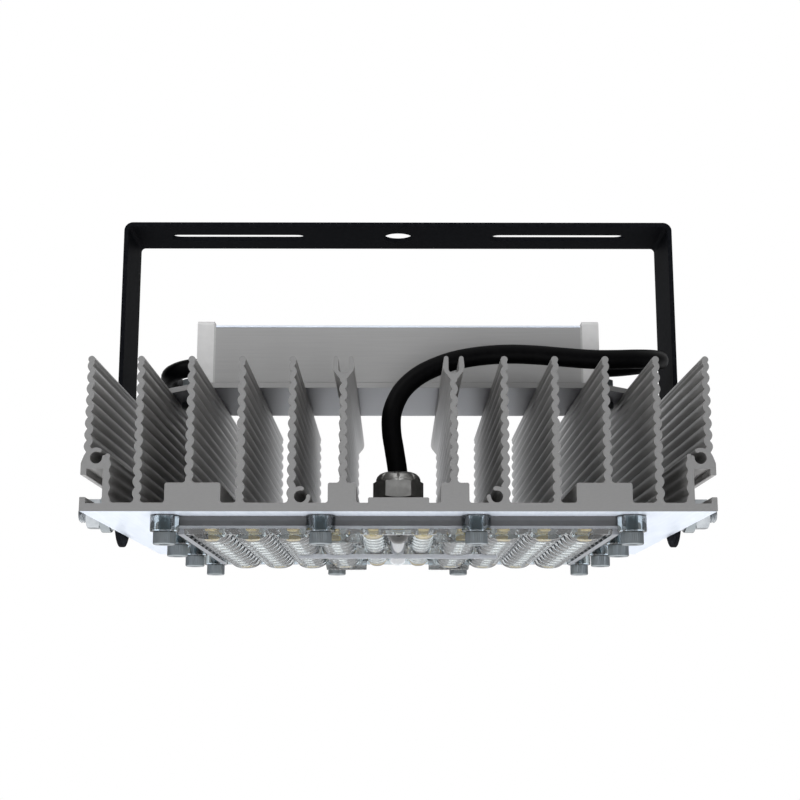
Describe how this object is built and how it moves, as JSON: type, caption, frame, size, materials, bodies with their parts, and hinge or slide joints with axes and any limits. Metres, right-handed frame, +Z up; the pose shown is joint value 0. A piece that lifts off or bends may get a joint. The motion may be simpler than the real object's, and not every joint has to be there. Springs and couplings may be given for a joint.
{
  "type": "flood light",
  "caption": "LED flood light with a finned extruded aluminium head, a ribbed clear lens, a driver box across the fin tops and a bent steel yoke that it tilts in.",
  "frame": {"origin": "centre of the hanging hole in the yoke's top bar, on the bar's upper face", "axes": "+Z up out of the top bar, +X along the bar from arm to arm, +Y along the fins, away from the side the cable gland is on"},
  "size_m": [0.2924, 0.194, 0.1562],
  "materials": {
    "black_paint": "semi-gloss black powder coat",
    "zinc_steel": "zinc-plated steel",
    "bright_steel": "bright stainless steel",
    "extrusion": "plain extruded aluminium",
    "board_white": "white solder mask on a metal-core board",
    "phosphor": "yellow phosphor under clear resin",
    "black_rubber": "soft black rubber",
    "clear_lens": "clear moulded plastic",
    "nickel_brass": "nickel-plated brass",
    "black_sheath": "smooth black cable sheath",
    "driver_metal": "satin extruded aluminium",
    "cap_metal": "light grey cast metal",
    "board_green": "green circuit board",
    "ferrite": "dark ferrite and tape",
    "can_blue": "sleeved metal cans",
    "copper_choke": "enamelled copper winding",
    "core_plastic": "coloured core insulation",
    "tinned_sleeve": "tinned crimp sleeves"
  },
  "bodies": {
    "yoke": {"yoke": "black_paint"},
    "pivots": {"pivot_bolts": "zinc_steel", "pivot_washers": "zinc_steel", "friction_bushes": "bright_steel", "lock_washers": "zinc_steel", "pivot_nuts": "zinc_steel"},
    "head": {"heat_sink": "extrusion", "led_board_left": "board_white", "led_board_centre": "board_white", "led_board_right": "board_white", "led_chips": "phosphor", "board_screws": "bright_steel", "lens_gasket": "black_rubber", "lens_plate": "clear_lens", "lens_screws": "bright_steel", "gland_body": "nickel_brass", "gland_seal": "black_rubber", "gland_nut": "nickel_brass", "module_lead": "black_sheath", "carrier_plate": "extrusion", "plate_screws": "zinc_steel", "driver_case": "driver_metal", "driver_cap_left": "cap_metal", "driver_cap_right": "cap_metal", "cap_seals": "black_rubber", "cap_screws": "bright_steel", "lug_bolts": "bright_steel", "lug_washers": "bright_steel", "lug_nuts": "bright_steel", "lead_bush_left": "black_rubber", "lead_bush_right": "black_rubber", "circuit_board": "board_green", "transformer": "ferrite", "capacitors": "can_blue", "choke": "copper_choke", "supply_cord": "black_sheath", "cord_cores": "core_plastic", "core_sleeves": "tinned_sleeve"}
  },
  "joints": [
    {"name": "tilt", "type": "hinge", "parent": "yoke", "child": "pivots", "pos_m": [0, 0, -0.1345], "axis": [1, 0, 0], "range_deg": [-90, 90]},
    {"name": "slide", "type": "slide", "parent": "pivots", "child": "head", "axis": [0, 1, 0], "range_m": [-0.02, 0.02]}
  ]
}
